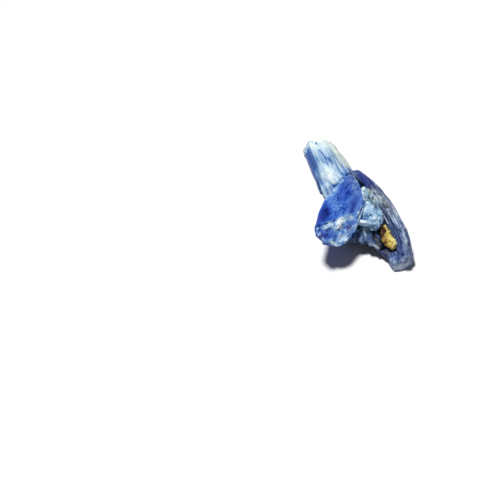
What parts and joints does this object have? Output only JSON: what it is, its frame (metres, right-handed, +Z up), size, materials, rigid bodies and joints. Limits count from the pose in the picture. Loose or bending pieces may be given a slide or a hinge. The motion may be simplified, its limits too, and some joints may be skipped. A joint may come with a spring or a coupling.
{
  "type": "kyanite blade cluster",
  "caption": "Cluster of striated blue kyanite blades grown together, with pale quartz and a yellow matrix grain, lying on its side.",
  "frame": {"origin": "under the middle of the bounding box, on the surface the cluster rests on", "axes": "+Z up, +Y away from the front, roughly along the long blades from their near to their far end, +X to the right"},
  "size_m": [0.0264, 0.0396, 0.012],
  "materials": {
    "pale_kyanite": "pale blue to white, pearly, striated along the blades",
    "dark_kyanite": "slate blue, glassy, finely striated with pale streaks",
    "blue_kyanite": "deep blue, smooth cleavage face with a sugary break",
    "quartz": "milky, crumbly",
    "yellow_matrix": "golden yellow, earthy"
  },
  "bodies": {
    "root": {"rear_blades": "pale_kyanite", "edge_blade": "dark_kyanite", "front_blade": "blue_kyanite", "pale_quartz": "quartz", "yellow_matrix": "yellow_matrix"}
  },
  "joints": []
}
